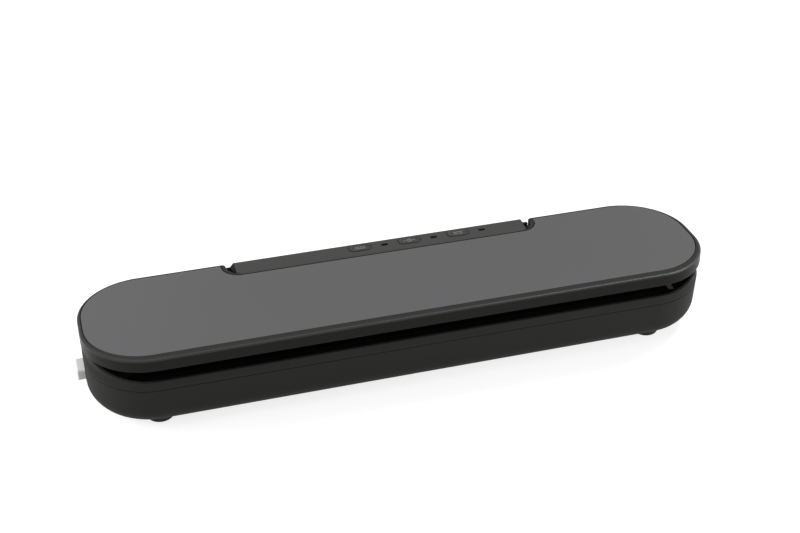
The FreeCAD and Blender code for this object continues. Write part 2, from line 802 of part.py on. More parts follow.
def make_suction_hose():
    start = at(port_x, chamber_back + chamber_wall + joint_gap, z_port)
    turn = at(port_x, y_pump - hose_bend, z_port)
    leave = at(port_x + hose_bend, y_pump, z_port)
    middle = at(port_x + hose_bend * (1 - math.sqrt(0.5)), y_pump - hose_bend * (1 - math.sqrt(0.5)), z_port)
    end = at(pump_x - joint_gap, y_pump, z_port)
    path = Part.Wire([Part.LineSegment(start, turn).toShape(), Part.Arc(turn, middle, leave).toShape(),
                      Part.LineSegment(leave, end).toShape()])
    walls = []
    for radius in (hose_radius, port_radius + bearing_slack):
        ring = Part.Wire(Part.makeCircle(radius, start, at(0, 1, 0)))
        walls.append(path.makePipeShell([ring], True, False))
    return walls[0].cut(walls[1])


# Power board between the mid posts, with its parts in a row
z_board = z_floor + board_lift + board_thickness
y_board = chamber_back + chamber_wall + board_gap
board_half = post_x - pad_radius - board_end_gap
row_half = board_half - 2 * standoff_inset - board_row_gap
transformer_length = 2 * row_half * transformer_share
capacitor_radius = row_half * capacitor_share
relay_length = 2 * row_half * relay_share
y_row = y_board + board_depth / 2
tall = z_plate_under - board_headroom - z_board


def make_power_board():
    under = z_board - board_thickness
    board = block(-board_half, board_half, y_board, y_board + board_depth, under, z_board)
    for sx in (-1, 1):
        for sy in (-1, 1):
            x = sx * (board_half - standoff_inset)
            y = y_row + sy * (board_depth / 2 - standoff_inset)
            board = join(board, rod(standoff_radius, at(x, y, z_floor), at(x, y, z_board)))
    return board


def make_transformer():
    x0 = -row_half
    core = block(x0, x0 + transformer_length, y_row - transformer_depth / 2, y_row + transformer_depth / 2,
                 z_board + core_lift, z_board + core_lift + core_height)
    coil_half = transformer_depth / 2 - coil_side_inset
    coil = block(x0 + coil_end_inset, x0 + transformer_length - coil_end_inset, y_row - coil_half,
                 y_row + coil_half, z_board, z_board + tall)
    return join(core, coil)


def make_capacitor():
    x = -row_half + transformer_length + board_row_gap + capacitor_radius
    return rod(capacitor_radius, at(x, y_row, z_board), at(x, y_row, z_board + tall))


def make_relay():
    return block(row_half - relay_length, row_half, y_row - relay_depth / 2, y_row + relay_depth / 2,
                 z_board, z_board + relay_height)


def inlet_rod(radius, x, y0, y1):
    return rod(radius, at(inlet_x + x, y0, z_inlet), at(inlet_x + x, y1, z_inlet))


def make_power_inlet():
    inner = y_inlet - inlet_body_depth
    outer = y_inlet + inlet_flange_thickness
    body = join(inlet_prism(0, inner, y_inlet), inlet_prism(inlet_flange, y_inlet, outer))
    depth = outer - inlet_recess
    web = block(inlet_x - inlet_lobe_offset, inlet_x + inlet_lobe_offset, depth, outer,
                z_inlet - inlet_lobe_radius + seat_gap, z_inlet + inlet_lobe_radius - seat_gap)
    for side in (-1, 1):
        body = take(body, inlet_rod(inlet_lobe_radius, side * inlet_lobe_offset, depth, outer),
                    inlet_rod(inlet_pin_radius + pin_slack, side * inlet_pin_offset, inner, depth))
    return body.cut(web)


def make_inlet_pin(side):
    depth = y_inlet + inlet_flange_thickness - inlet_recess
    return inlet_rod(inlet_pin_radius, side * inlet_pin_offset, y_inlet - inlet_body_depth,
                     depth + inlet_pin_length)


def make_lid_switch():
    body = switch_block(z_switch, z_switch + lid_switch_height)
    x = hook_x - hook_stem / 2
    return join(body, rod(lid_switch_plunger, at(x, 0, z_switch), at(x, 0, z_hook - joint_gap)))


def make_foot(x, y):
    foot = rod(foot_radius, at(x, y, 0), at(x, y, z_foot_seat))
    return foot.makeFillet(foot_rounding, level_edges(foot, 0))


def make_base_screw(x, y):
    head = rod(screw_head_radius, at(x, y, z_head - screw_head_height), at(x, y, z_head))
    return join(head, rod(screw_radius, at(x, y, z_head), at(x, y, z_head + screw_length)))


os.makedirs("parts", exist_ok=True)

# Base
save("base_shell", make_base_shell())
save("base_deck", make_base_deck())
save("rubber_feet", *[make_foot(x, y) for x, y in foot_places])
save("base_screws", *[make_base_screw(x, y) for x, y in post_places])
save("lower_gasket", make_gasket(z_plate - gasket_seat, z_gasket, z_gasket))
save("heater_bar", block(-heater_half, heater_half, y_heater, y_heater_back, z_plate, z_heater))
y_wire = (y_heater + y_heater_back) / 2
save("heating_wire", block(-heater_half, heater_half, y_wire - wire_width / 2, y_wire + wire_width / 2,
                           z_heater, z_heater + wire_thickness))
save("heater_tape", make_heater_tape())
terminal = make_terminal()
save("heater_terminals", *both_ends(lambda side: mirrored(terminal, side)))
save("power_inlet", make_power_inlet())
save("inlet_pins", *both_ends(make_inlet_pin))
save("power_board", make_power_board())
save("transformer", make_transformer())
save("filter_capacitor", make_capacitor())
save("relay", make_relay())
save("pump_motor", make_pump_motor())
save("pump_head", make_pump_head())
save("pump_cradle", make_pump_cradle())
save("motor_shaft", make_motor_shaft())
save("suction_port", make_suction_port())
save("suction_hose", make_suction_hose())
save("lid_switch", make_lid_switch())

# Control strip
save("control_panel", make_control_panel())
save("control_board", make_control_board())
save("tact_switches", *[make_tact_switch(x) for x in button_places()])
save("indicator_leds", *[make_led(x) for x in button_places()])
save("indicator_windows", *[window_block(x, 0, z_top - strip_top, z_top - window_sink)
                            for x in button_places()])
for name, x in zip(("seal_button", "vacuum_button", "mode_button"), button_places()):
    save(name, make_button(x))
hinge_pin = hinge_rod(hinge_pin_radius, strip_hollow, notch_half + bush_grip - joint_gap)
save("hinge_pins", *both_ends(lambda side: mirrored(hinge_pin, side)))

# Lid lock
lock_button = make_lock_button()
lock_slide = make_lock_slide()
for name, side in (("left", -1), ("right", 1)):
    save("lock_button_" + name, mirrored(lock_button, side))
    save("lock_slide_" + name, mirrored(lock_slide, side))

# Lid
bush = hinge_rod(bush_radius, strip_half + bush_gap, notch_half + bush_grip)
bush = bush.cut(hinge_rod(hinge_pin_radius + bearing_slack, strip_half, notch_half + bush_grip))
hook = make_hook()
save_lid("lid_frame", make_lid_frame())
save_lid("lid_panel", make_lid_panel())
save_lid("lid_liner", make_lid_liner())
save_lid("lid_screws", *[make_lid_screw(x, y) for x, y in lid_screw_places()])
save_lid("upper_gasket", make_gasket(z_gasket + joint_gap, z_liner + gasket_seat, z_gasket + joint_gap))
save_lid("press_strip", press_block(0, z_tape + joint_gap, z_liner + gasket_seat))
save_lid("hinge_bushes", *both_ends(lambda side: mirrored(bush, side)))
for name, side in (("left", -1), ("right", 1)):
    save_lid("lid_hook_" + name, mirrored(hook, side))
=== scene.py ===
import json
import bpy
import numpy as np
from mathutils import Matrix, Vector


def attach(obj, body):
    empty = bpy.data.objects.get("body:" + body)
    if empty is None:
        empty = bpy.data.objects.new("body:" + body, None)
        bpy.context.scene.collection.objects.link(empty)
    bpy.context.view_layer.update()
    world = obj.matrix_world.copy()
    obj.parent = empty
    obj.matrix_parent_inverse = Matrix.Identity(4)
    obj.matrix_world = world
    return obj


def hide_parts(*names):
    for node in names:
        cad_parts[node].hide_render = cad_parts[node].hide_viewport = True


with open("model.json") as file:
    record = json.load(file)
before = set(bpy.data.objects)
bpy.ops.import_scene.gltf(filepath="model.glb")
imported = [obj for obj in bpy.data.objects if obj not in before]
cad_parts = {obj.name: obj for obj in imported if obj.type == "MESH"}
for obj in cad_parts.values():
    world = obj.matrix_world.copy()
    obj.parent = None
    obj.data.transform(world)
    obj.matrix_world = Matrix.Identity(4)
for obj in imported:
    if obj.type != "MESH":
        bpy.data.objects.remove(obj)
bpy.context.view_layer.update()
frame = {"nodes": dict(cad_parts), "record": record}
nodes = frame["nodes"]
slotOf = {part["node"]: part["material_slot"] for part in frame["record"]["subparts"]}

mm = 0.001
hingeLook = {"y": 39.5, "z": 39.5, "ajar": 5.5}  # millimetres, degrees the lid stands open


class Wire:
    # one socket of a node tree; an expression on wires adds Math nodes
    def __init__(self, tree, socket=None):
        self.tree = tree
        self.socket = socket

    def node(self, kind, settings=None, inputs=None, out=0):
        # any node: its settings first, then a wire or a plain value for each socket
        made = self.tree.nodes.new("ShaderNode" + kind)
        for name, value in (settings or {}).items():
            if name == "stops":
                setStops(made.color_ramp.elements, value)
            else:
                setattr(made, name, value)
        for name, value in (inputs or {}).items():
            if isinstance(value, Wire):
                self.tree.links.new(value.socket, made.inputs[name])
            else:
                made.inputs[name].default_value = value
        return Wire(self.tree, made.outputs[out])

    def math(self, operation, *values):
        return self.node("Math", {"operation": operation}, dict(enumerate(values)))

    def __add__(self, other):
        return self.math("ADD", self, other)

    def __sub__(self, other):
        return self.math("SUBTRACT", self, other)

    def __rsub__(self, other):
        return self.math("SUBTRACT", other, self)

    def __mul__(self, other):
        return self.math("MULTIPLY", self, other)

    def __lt__(self, other):
        return self.math("LESS_THAN", self, other)

    def __gt__(self, other):
        return self.math("GREATER_THAN", self, other)

    def __abs__(self):
        return self.math("ABSOLUTE", self)

    def sine(self):
        return self.math("SINE", self)

    def root(self):
        return self.math("SQRT", self)

    def most(self, other):
        return self.math("MAXIMUM", self, other)

    def least(self, other):
        return self.math("MINIMUM", self, other)

    __radd__ = __add__
    __rmul__ = __mul__


def setStops(elements, stops):
    # stops: (place, grey) pairs of a ramp
    while len(elements) < len(stops):
        elements.new(stops[-1][0])
    for element, (where, grey) in zip(elements, stops):
        element.position = where
        element.color = (grey, grey, grey, 1)


def newMaterial(name, fixed):
    # fixed values go straight on the shader's own sockets
    made = bpy.data.materials.new(name)
    made.use_nodes = True
    shader = made.node_tree.nodes["Principled BSDF"]
    for socket, value in fixed.items():
        shader.inputs[socket].default_value = value
    return made, Wire(made.node_tree)


def feed(wires, sockets):
    # links each varying value to the shader's socket of that name
    shader = wires.tree.nodes["Principled BSDF"]
    for socket, wire in sockets.items():
        wires.tree.links.new(wire.socket, shader.inputs[socket])


def place(wires, stretch=(1, 1, 1), shift=(0, 0, 0), turn=(0, 0, 0)):
    # the piece's own coordinates in metres: moved, turned and stretched per axis
    where = wires.node("TexCoord", out="Object")
    return wires.node("Mapping", None, {"Vector": where, "Location": shift, "Rotation": turn, "Scale": stretch})


def noise(wires, scale, detail=2.0, stretch=(1, 1, 1)):
    return wires.node("TexNoise", None, {"Vector": place(wires, stretch), "Scale": scale, "Detail": detail})


def cells(wires, scale, out="Distance"):
    return wires.node("TexVoronoi", None, {"Vector": place(wires), "Scale": scale}, out=out)


def axes(wires, **moved):
    # x, y and z of the piece's own coordinates as three wires
    where = place(wires, **moved)
    return [wires.node("SeparateXYZ", None, {"Vector": where}, out=axis) for axis in "XYZ"]


def blend(wires, mask, first, second):
    # colour that goes from first to second as the mask goes from 0 to 1
    return wires.node("Mix", {"data_type": "RGBA"}, {0: mask, 6: first, 7: second}, out=2)


def mixed(first, second, share):
    # a share of the first value and the rest of the second
    return first * share + second * (1 - share)


def swing(value, width):
    # a value from 0 to 1 made to swing about zero, over the given width
    return (value - 0.5) * width


def waves(value, length):
    # sine along a coordinate, one wave for each length in millimetres
    return (value * (2 * np.pi / (length * mm))).sine()


def lifted(wave):
    # a wave from -1 to 1 brought to 0 to 1
    return wave * 0.5 + 0.5


def ramp(wires, value, *stops):
    return wires.node("ValToRGB", {"stops": stops}, {"Fac": value})


def bump(wires, height, depth):
    return wires.node("Bump", None, {"Height": height, "Distance": depth, "Strength": 1.0})


def shade(colour, factor):
    return tuple(channel * factor for channel in colour) + (1.0,)


def tinted(wires, tone, look):
    # colour that swings by the look's spread as the tone goes from 0 to 1
    return blend(wires, tone, shade(look["colour"], 1 - look["spread"]), shade(look["colour"], 1 + look["spread"]))


# black is the colour of painted shade, used where a shade mask is given
plasticLook = {"colour": (0.025, 0.025, 0.024), "specular": 0.12, "roughness": 0.66, "grain": 2600.0, "drift": 16.0,
               "speckle": 0.4, "spread": 0.14, "rubbed": 0.12, "rubbedGloss": 0.25, "depth": 0.00002,
               "black": (0.003, 0.003, 0.003, 1.0)}


def mouldedPlastic(name, look, shadeMask=None, shine=None):
    # spark-eroded mould grain: fine noise for bump and gloss, broad noise for a faint drift of colour; the two
    # optional masks give painted shade, black standing in for the shade in gaps and hollows, and edges that are
    # rubbed to a shine
    made, wires = newMaterial(name, {"Specular IOR Level": look["specular"], "Coat Roughness": look["rubbedGloss"]})
    grain = noise(wires, look["grain"], detail=3.0)
    drift = noise(wires, look["drift"])
    colour = tinted(wires, mixed(grain, drift, look["speckle"]), look)
    if shadeMask:
        # painted shade: black where the mask is 1, in place of the shade that falls there
        colour = blend(wires, shadeMask(wires), colour, look["black"])
    if shine:
        feed(wires, {"Coat Weight": shine(wires)})
    gloss = look["roughness"] + swing(drift, look["rubbed"]) + swing(grain, look["rubbed"])
    feed(wires, {"Base Color": colour, "Roughness": gloss, "Normal": bump(wires, grain, look["depth"])})
    return made


rimLook = {"straightX": 151.25, "straightY": 6.1, "deckReach": 36.15, "lidReach": 37.8, "lidBelow": 43.8,
           "edgeFrom": 36.8, "edgeWidth": 1.4, "edgeAbove": 43.0, "stripEnd": 92.6, "stripRear": 44.4,
           "stripFront": 33.0, "stripAbove": 42.2,  # millimetres
           "shine": 0.5}


def shutLid(wires):
    # x, y and z of the lid's points turned back about the hinge axis, to where they are when it is shut
    turn = np.radians(hingeLook["ajar"])
    y, z = hingeLook["y"] * mm, hingeLook["z"] * mm
    shift = (0, y - y * np.cos(turn) + z * np.sin(turn), z - y * np.sin(turn) - z * np.cos(turn))
    return axes(wires, turn=(turn, 0, 0), shift=shift)


def outwards(x, y):
    # distance from a long rectangle in the middle of the outline: root of the squares of what is past its sides
    pastX = (abs(x) - rimLook["straightX"] * mm).most(0)
    pastY = (abs(y) - rimLook["straightY"] * mm).most(0)
    return (pastX * pastX + pastY * pastY).root()


def deckPaintedShade(wires):
    # painted shade: 1 within the deck's outer wall, where the deck is coloured near black for the shade under the lid
    x, y, _ = axes(wires)
    return outwards(x, y) < rimLook["deckReach"] * mm


def lidPaintedShade(wires):
    # painted shade: 1 within the lid's outer wall and below its top, where the lid's inside is coloured black for the
    # shade in the gap
    x, y, z = shutLid(wires)
    return (outwards(x, y) < rimLook["lidReach"] * mm) * (z < rimLook["lidBelow"] * mm)


def lidEdge(wires):
    # grows from 0 at the groove round the plate to the full shine at the lid's outer edge
    x, y, z = shutLid(wires)
    grown = (outwards(x, y) - rimLook["edgeFrom"] * mm) * (1 / (rimLook["edgeWidth"] * mm))
    return grown.most(0).least(1) * (z > rimLook["edgeAbove"] * mm) * rimLook["shine"]


def stripEdge(wires):
    # the shine on the strip's upper front edge
    _, y, z = axes(wires)
    return (y < rimLook["stripFront"] * mm) * (z > rimLook["stripAbove"] * mm) * rimLook["shine"]


def stripEndShade(wires):
    # painted shade: 1 on the strip's two ends, deep in the gaps beside the lid, where they are coloured black for the
    # shade there
    x, y, _ = axes(wires)
    return (abs(x) > rimLook["stripEnd"] * mm) * (y < rimLook["stripRear"] * mm)


def flakePaint(name, look):
    # sprayed metallic grey: random grey per flake over a slow drift, and a fine orange-peel bump
    made, wires = newMaterial(name, {"Specular IOR Level": look["specular"], "Metallic": look["metallic"]})
    flake = wires.node("SeparateColor", None, {"Color": cells(wires, look["flake"], "Color")})
    peel = noise(wires, look["peel"])
    drift = noise(wires, look["drift"])
    gloss = look["roughness"] + swing(flake, look["rubbed"]) + swing(drift, look["rubbed"])
    feed(wires, {"Base Color": tinted(wires, mixed(flake, drift, look["speckle"]), look), "Roughness": gloss,
                 "Normal": bump(wires, peel, look["depth"])})
    return made


foamLook = {"colour": (0.016, 0.016, 0.016), "specular": 0.3, "roughness": 0.72, "pores": 1900.0, "dust": 240.0,
            "speckle": 0.5, "spread": 0.35, "rubbed": 0.14, "depth": 0.00005}


def foamRubber(name, look):
    # closed-cell rubber: cells for bump and colour, noise for dust
    made, wires = newMaterial(name, {"Specular IOR Level": look["specular"]})
    pores = cells(wires, look["pores"])
    dust = noise(wires, look["dust"], detail=5.0)
    feed(wires, {"Base Color": tinted(wires, mixed(pores, dust, look["speckle"]), look),
                 "Roughness": look["roughness"] + swing(dust, look["rubbed"]),
                 "Normal": bump(wires, pores, look["depth"])})
    return made


metalLook = {"colour": (0.56, 0.56, 0.55), "roughness": 0.34, "lines": 900.0, "stretch": (0.05, 1, 1), "spots": 130.0,
             "speckle": 0.6, "spread": 0.10, "rubbed": 0.16, "depth": 0.000004}


def drawnMetal(name, look):
    # metal with fine lines along one axis: noise stretched along it, and dull spots
    made, wires = newMaterial(name, {"Metallic": 1.0})
    lines = noise(wires, look["lines"], detail=3.0, stretch=look["stretch"])
    spots = noise(wires, look["spots"], detail=4.0)
    gloss = look["roughness"] + swing(spots, look["rubbed"]) + swing(lines, look["rubbed"])
    feed(wires, {"Base Color": tinted(wires, mixed(lines, spots, look["speckle"]), look), "Roughness": gloss,
                 "Normal": bump(wires, lines, look["depth"])})
    return made


def wovenCloth(name, look):
    # plain weave: the product of two sines is the height of the crossing threads, noise tints each thread; painted
    # shade makes the cloth near black up to a ragged line, and past it, at the lit end, the cloth shows its own tan
    made, wires = newMaterial(name, {"Specular IOR Level": look["specular"]})
    x, y, _ = axes(wires)
    weave = lifted(waves(x, 2 * look["thread"]) * waves(y, 2 * look["thread"]))
    warp = noise(wires, look["drift"], detail=3.0, stretch=(1, look["stretch"], 1))
    weft = noise(wires, look["drift"], detail=3.0, stretch=(look["stretch"], 1, 1))
    thread = mixed(warp, weft, 0.5)
    unshaded = (x + swing(thread, look["shadeEdgeSwing"] * mm)) > look["shadedTo"] * mm
    tone = mixed(weave, thread, look["speckle"])
    # painted shade: near-black colour on the cloth up to the ragged line, its own tan only past it
    colour = blend(wires, unshaded, tinted(wires, tone, {**look, "colour": look["shadeColour"]}), tinted(wires, tone, look))
    feed(wires, {"Base Color": colour, "Roughness": look["roughness"] + swing(weave, look["rubbed"]),
                 "Normal": bump(wires, weave, look["depth"])})
    return made


def layeredBoard(name, look):
    # pressed resin board: layers as noise stretched flat, fibres as fine noise
    made, wires = newMaterial(name, {"Specular IOR Level": look["specular"]})
    layers = noise(wires, look["layers"], detail=4.0, stretch=look["layerStretch"])
    fibres = noise(wires, look["fibres"], detail=3.0, stretch=look["fibreStretch"])
    feed(wires, {"Base Color": tinted(wires, mixed(layers, fibres, look["speckle"]), look),
                 "Roughness": look["roughness"] + swing(fibres, look["rubbed"]),
                 "Normal": bump(wires, fibres, look["depth"])})
    return made


def circuitBoard(name, look):
    # solder mask over copper: rows of tracks from a brick pattern, bright pads in random cells
    made, wires = newMaterial(name, {"Specular IOR Level": look["specular"], "Coat Weight": look["lacquer"]})
    tracks = wires.node("TexBrick", {"offset": look["trackShift"]},
                        {"Vector": place(wires), "Scale": look["tracks"], "Mortar Size": look["trackWidth"],
                         "Color1": (0, 0, 0, 1), "Color2": (0, 0, 0, 1), "Mortar": (1, 1, 1, 1)}, out="Fac")
    mask = noise(wires, look["drift"], detail=3.0)
    pads = cells(wires, look["pads"]) < look["padSize"]
    green = blend(wires, tracks * look["trackTint"], tinted(wires, mask, look),
                  shade(look["colour"], look["trackLight"]))
    feed(wires, {"Base Color": blend(wires, pads, green, look["tin"]), "Metallic": pads * look["padMetal"],
                 "Roughness": look["roughness"] + pads * look["padDull"],
                 "Normal": bump(wires, tracks + pads, look["depth"])})
    return made


def tapedWinding(name, look):
    # turns of wire under yellow tape: sines for the turns along x and for the core's sheets along z, noise for soot
    made, wires = newMaterial(name, {"Specular IOR Level": look["specular"]})
    x, _, z = axes(wires)
    turns = lifted(waves(x, look["turn"]))
    sheets = lifted(waves(z, look["sheet"]))
    soot = noise(wires, look["drift"], detail=4.0)
    turnShare, sheetShare, sootShare = look["shares"]
    tone = turns * turnShare + sheets * sheetShare + soot * sootShare
    feed(wires, {"Base Color": tinted(wires, tone, look),
                 "Roughness": look["roughness"] + swing(soot, look["rubbed"]),
                 "Normal": bump(wires, turns + sheets, look["depth"])})
    return made


finishes = {
    "case": mouldedPlastic("casePlastic", plasticLook),
    # painted shade: the lid rim is black inside the lid, for the shade in the gap
    "lid_rim": mouldedPlastic("lidRimPlastic", {**plasticLook, "colour": (0.022, 0.022, 0.021), "specular": 0.05,
                                                "roughness": 0.36}, lidPaintedShade, lidEdge),
    # painted shade: the strip's ends are black, for the shade in the gaps beside the lid
    "strip": mouldedPlastic("stripPlastic", {**plasticLook, "colour": (0.050, 0.050, 0.049), "specular": 0.07,
                                             "roughness": 0.50}, stripEndShade, stripEdge),
    "white": mouldedPlastic("whitePlastic", {**plasticLook, "colour": (0.88, 0.88, 0.87), "specular": 0.2,
                                             "roughness": 0.26, "spread": 0.015, "depth": 0.000006}),
    "window": mouldedPlastic("windowGloss", {**plasticLook, "colour": (0.003, 0.003, 0.003), "specular": 0.02,
                                             "roughness": 0.3, "rubbed": 0.0, "depth": 0.000002}),
    "inner": mouldedPlastic("innerPlastic", {**plasticLook, "colour": (0.013, 0.013, 0.013), "roughness": 0.55}),
    "component": mouldedPlastic("partPlastic", {**plasticLook, "colour": (0.020, 0.020, 0.022), "roughness": 0.5}),
    "hose": mouldedPlastic("hoseRubber", {**plasticLook, "colour": (0.55, 0.55, 0.52), "specular": 0.5,
                                          "roughness": 0.38, "grain": 900.0, "spread": 0.05}),
    "lid_plate": flakePaint("lidPlatePaint", {"colour": (0.104, 0.104, 0.107), "specular": 0.04, "metallic": 0.1,
                                              "roughness": 0.46, "flake": 5200.0, "peel": 1400.0, "drift": 9.0,
                                              "speckle": 0.35, "spread": 0.09, "rubbed": 0.06, "depth": 0.000008}),
    "rubber": foamRubber("foamRubber", foamLook),
    "silicone": foamRubber("siliconeRubber", {**foamLook, "colour": (0.052, 0.052, 0.054), "specular": 0.4,
                                              "roughness": 0.55, "pores": 5200.0, "spread": 0.12, "depth": 0.00001}),
    "steel": drawnMetal("plainSteel", metalLook),
    "brass": drawnMetal("plainBrass", {**metalLook, "colour": (0.75, 0.58, 0.28), "stretch": (1, 0.08, 1)}),
    "can": drawnMetal("canAluminium", {**metalLook, "colour": (0.62, 0.63, 0.65), "stretch": (1, 1, 0.05)}),
    # painted shade: the cloth is near black up to the given x in millimetres, for the shade in the gap
    "tape": wovenCloth("tapeCloth", {"colour": (0.16, 0.122, 0.08), "shadeColour": (0.004, 0.0035, 0.003), "shadedTo": 159.6,
                                     "shadeEdgeSwing": 2.0, "specular": 0.02, "roughness": 0.6, "thread": 0.8, "stretch": 12,
                                     "drift": 260.0, "speckle": 0.45, "spread": 0.6, "rubbed": 0.2, "depth": 0.0001}),
    "phenolic": layeredBoard("pressedBoard", {"colour": (0.007, 0.005, 0.004), "specular": 0.02, "roughness": 0.6,
                                              "layers": 700.0, "layerStretch": (0.06, 0.25, 3.0), "fibres": 1500.0,
                                              "fibreStretch": (0.3, 1, 1), "speckle": 0.6, "spread": 0.3,
                                              "rubbed": 0.15, "depth": 0.00002}),
    "board": circuitBoard("circuitBoard", {"colour": (0.018, 0.105, 0.045), "specular": 0.5, "roughness": 0.32,
                                           "lacquer": 0.3, "tracks": 330.0, "trackShift": 0.35, "trackWidth": 0.06,
                                           "trackTint": 0.6, "trackLight": 2.2, "drift": 120.0, "pads": 260.0,
                                           "padSize": 0.16, "padMetal": 0.9, "padDull": 0.15, "spread": 0.2,
                                           "tin": (0.62, 0.62, 0.60, 1.0), "depth": 0.00004}),
    "winding": tapedWinding("tapedWinding", {"colour": (0.30, 0.20, 0.06), "specular": 0.4, "roughness": 0.45,
                                             "turn": 0.7, "sheet": 0.5, "shares": (0.4, 0.25, 0.35), "drift": 300.0,
                                             "spread": 0.4, "rubbed": 0.2, "depth": 0.00006}),
}
# painted shade: the hinge pins are near black, so they read as the shade in the gaps at the strip's ends
pinShadeLook = {**metalLook, "colour": (0.020, 0.020, 0.021), "roughness": 0.42}
# painted shade: the heater's brass terminals are near black, for the shade in the gap
terminalShadeLook = {**metalLook, "colour": (0.030, 0.022, 0.012), "roughness": 0.6, "spread": 0.3}
# painted shade: the deck's inside is near black, for the shade in the gap under the lid
deckShadeLook = {**plasticLook, "black": (0.012, 0.012, 0.012, 1.0)}
ownFinishes = {"base_deck": mouldedPlastic("deckPlastic", deckShadeLook, deckPaintedShade),
               "hinge_pins": drawnMetal("pinPaintedShade", pinShadeLook),
               "heater_terminals": drawnMetal("terminalPaintedShade", terminalShadeLook)}
for name, slot in slotOf.items():
    nodes[name].data.materials.clear()
    nodes[name].data.materials.append(ownFinishes.get(name, finishes.get(slot, finishes["case"])))
print("finishes:", len(finishes) + len(ownFinishes))


def addSurface(name, points, places=((0, 0, 0),), sharp=38.0):
    # closed surface from a grid of points in millimetres: rows run along it, columns go round it and the last column
    # joins the first; one face closes each end, the faces are turned outwards, and the whole is copied to each place
    rows, columns = points.shape[:2]
    index = np.arange(rows * columns).reshape(rows, columns)
    around = np.roll(index, -1, axis=1)
    quads = np.stack([index[:-1], index[1:], around[1:], around[:-1]], axis=-1).reshape(-1, 4)
    flat = points.reshape(-1, 3)
    a, b, c, d = (flat[quads[:, corner]] for corner in range(4))
    inwards = np.einsum("ij,ij->", a + c, np.cross(b - a, c - a) + np.cross(c - a, d - a)) < 0
    way = -1 if inwards else 1
    starts = len(flat) * np.arange(len(places))[:, None]
    faces = []
    for face in (quads, index[:1], index[-1:, ::-1]):
        faces += (face[:, ::way] + starts[..., None]).reshape(-1, face.shape[1]).tolist()
    mesh = bpy.data.meshes.new(name)
    mesh.from_pydata(((flat + np.array(places)[:, None]).reshape(-1, 3) * mm).tolist(), [], faces)
    mesh.update()
    mesh.polygons.foreach_set("use_smooth", np.ones(len(mesh.polygons), dtype=bool))
    mesh.set_sharp_from_angle(angle=np.radians(sharp))
    made = bpy.data.objects.new(name, mesh)
    bpy.context.scene.collection.objects.link(made)
    return made


def standFor(piece, body, slot, finish, *hidden):
    # the piece takes a finish, moves with a body and stands for the CAD nodes named last
    piece.data.materials.append(finish)
    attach(piece, body)
    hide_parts(*hidden)


def ajar(points):
    # turns points of the shut lid about the hinge axis by the angle that it stands open
    turn = np.radians(hingeLook["ajar"])
    y, z = points[..., 1] - hingeLook["y"], points[..., 2] - hingeLook["z"]
    turned = points.copy()
    turned[..., 1] = hingeLook["y"] + y * np.cos(turn) + z * np.sin(turn)
    turned[..., 2] = hingeLook["z"] - y * np.sin(turn) + z * np.cos(turn)
    return turned


def fullTurn(sides):
    # angles once round an axis
    return np.linspace(0, 2 * np.pi, sides, endpoint=False)


def quarter(rings):
    # angles of a quarter turn, for a rounded edge
    return np.linspace(0, np.pi / 2, rings)


deckScrewLook = {"sides": 48, "rings": 120, "headRadius": 2.9, "headHeight": 2.0, "shaft": 13.0, "radius": 1.5,
                 "threadDepth": 0.28, "pitch": 1.1, "runOut": 0.05, "point": 1.0, "tipLength": 0.3, "tipEnd": 0.05,
                 "tipRadius": 0.55,  # share of the shaft's radius
                 "domeFrom": 0.02, "domeTo": 0.86, "domeRings": 22, "rim": (0.93, 0.975, 1.0),  # of the head's radius
                 "underRim": 0.985, "domeDrop": 0.28, "domePower": 4, "rimHeight": 0.22,  # of the head's height
                 "slotHalf": 0.42, "slotReach": 0.66, "slotDepth": 1.0, "slotWall": 4, "slotEnd": 6, "seat": 5.5,
                 "places": [(-65, -26), (-65, 26), (65, -26), (65, 26), (-165, -22), (165, -22)]}
lidScrewLook = {**deckScrewLook, "rings": 40, "headRadius": 2.8, "headHeight": 1.2, "shaft": 3.7, "radius": 1.4,
                "slotDepth": 0.75, "point": 0.6, "seat": 38.0,
                "places": [(-60, 22), (-140, 22), (60, 22), (140, 22), (-175, -18), (175, -18)]}


def screw(look):
    # profile carried round the axis: domed head, under side, then a shaft whose radius is a sawtooth of height and
    # angle, so that the thread climbs; the head sinks in a cross where either coordinate is near the axis
    angle = fullTurn(look["sides"])
    ones = np.ones_like(angle)
    headRadius, headHeight, shaft = look["headRadius"], look["headHeight"], look["shaft"]
    across = np.concatenate([np.linspace(look["domeFrom"], look["domeTo"], look["domeRings"]), look["rim"]])
    dome = -headHeight + look["domeDrop"] * headHeight * across ** look["domePower"]
    headRadii = np.concatenate([across * headRadius, [headRadius, headRadius * look["underRim"], look["radius"]]])
    headHeights = np.concatenate([dome, [-look["rimHeight"] * headHeight, 0.0, 0.0]])
    climb = np.linspace(look["runOut"], shaft - look["point"], look["rings"])[:, None]
    sawtooth = np.abs(((climb / look["pitch"] + angle / (2 * np.pi)) % 1) - 0.5) * 2
    thread = look["radius"] - look["threadDepth"] * sawtooth
    tipRadii = np.array([[look["radius"] * look["tipRadius"]], [look["tipEnd"]]])
    tipHeights = np.array([[shaft - look["tipLength"]], [shaft]])
    radius = np.vstack([headRadii[:, None] * ones, thread, tipRadii * ones])
    height = np.vstack([headHeights[:, None] * ones, climb * ones, tipHeights * ones])
    x, y = radius * np.cos(angle), radius * np.sin(angle)
    near = np.minimum(np.abs(x), np.abs(y)) / look["slotHalf"]
    far = np.maximum(np.abs(x), np.abs(y)) / (look["slotReach"] * headRadius)
    sink = np.clip((1 - near) * look["slotWall"], 0, 1) * np.clip((1 - far) * look["slotEnd"], 0, 1)
    sink[len(across):] = 0
    return np.stack([x, y, height + sink * look["slotDepth"]], axis=-1)


